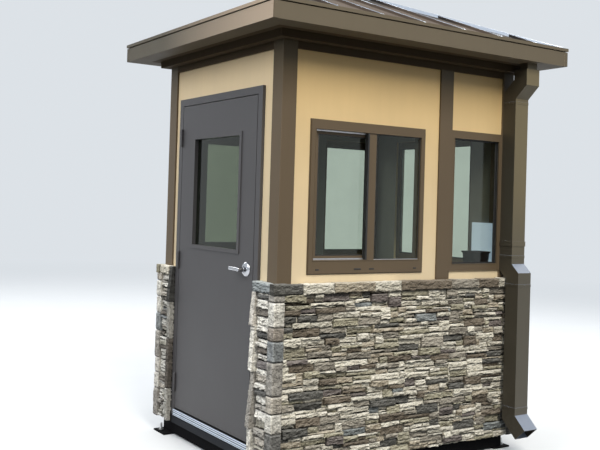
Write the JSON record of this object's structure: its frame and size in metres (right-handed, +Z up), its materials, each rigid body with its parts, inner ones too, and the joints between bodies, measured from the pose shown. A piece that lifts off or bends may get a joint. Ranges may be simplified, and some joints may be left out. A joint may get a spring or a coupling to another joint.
{
  "type": "security guard booth",
  "caption": "Small guard booth on a steel base, with a hip roof and box gutter, stone-faced lower walls, a hinged door, a sliding window and fixed windows.",
  "frame": {"origin": "on the ground at the middle of the plan", "axes": "X along the window wall, the window wall faces -Y, the door wall faces -X, Z up"},
  "size_m": [2.387, 1.854, 3.0782],
  "materials": {
    "bronze": "satin dark bronze paint",
    "panel": "cream embossed wall panel",
    "stone": "stacked ledger stone",
    "cap_stone": "rough cap stone",
    "door_grey": "satin grey paint",
    "glass": "clear glass",
    "base_black": "black paint",
    "floor": "ribbed floor covering",
    "aluminium": "mill finish, ribbed",
    "satin_chrome": "satin chrome",
    "lining": "pale lining",
    "counter": "laminate on board",
    "tray_black": "black moulded",
    "paper": "blank white sheet"
  },
  "bodies": {
    "booth": {"base_frame": "base_black", "foot_plates": "base_black", "floor_deck": "floor", "corner_posts": "bronze", "wall_front": "panel", "wall_back": "panel", "wall_right": "panel", "wall_left_sides": "panel", "wall_left_header": "panel", "battens": "bronze", "top_trim": "bronze", "stone_front": "stone", "stone_back": "stone", "stone_right": "stone", "stone_left": "stone", "stone_caps": "cap_stone", "door_sill": "bronze", "threshold": "aluminium", "door_frame": "door_grey", "hinges_frame_side": "door_grey", "slider_frames": "bronze", "slider_sashes": "bronze", "fixed_frames": "bronze", "window_glass": "glass", "ceiling": "lining", "counter": "counter", "tray": "tray_black", "notice": "paper", "roof_ring": "bronze", "gutter": "bronze", "drip_edge": "bronze", "roof_front": "bronze", "roof_back": "bronze", "roof_right": "bronze", "roof_left": "bronze", "roof_caps": "bronze", "downspout_pipes": "bronze", "downspout_elbows": "bronze", "downspout_strap": "bronze"},
    "door": {"door_leaf": "door_grey", "lite_frame": "door_grey", "lite_glass": "glass", "hinges_door_side": "door_grey", "lever_roses": "satin_chrome"},
    "lever": {"door_lever": "satin_chrome"}
  },
  "joints": [
    {"name": "door_swing", "type": "hinge", "parent": "booth", "child": "door", "pos_m": [-0.9695, 0.4675, 0.2], "axis": [0, 0, -1], "range_deg": [0, 110]},
    {"name": "lever_turn", "type": "hinge", "parent": "door", "child": "lever", "pos_m": [-0.9605, -0.379, 1.204], "axis": [-1, 0, 0], "range_deg": [0, 45], "stiffness_Nm_per_rad": 1.2, "springref_deg": -20.05}
  ]
}
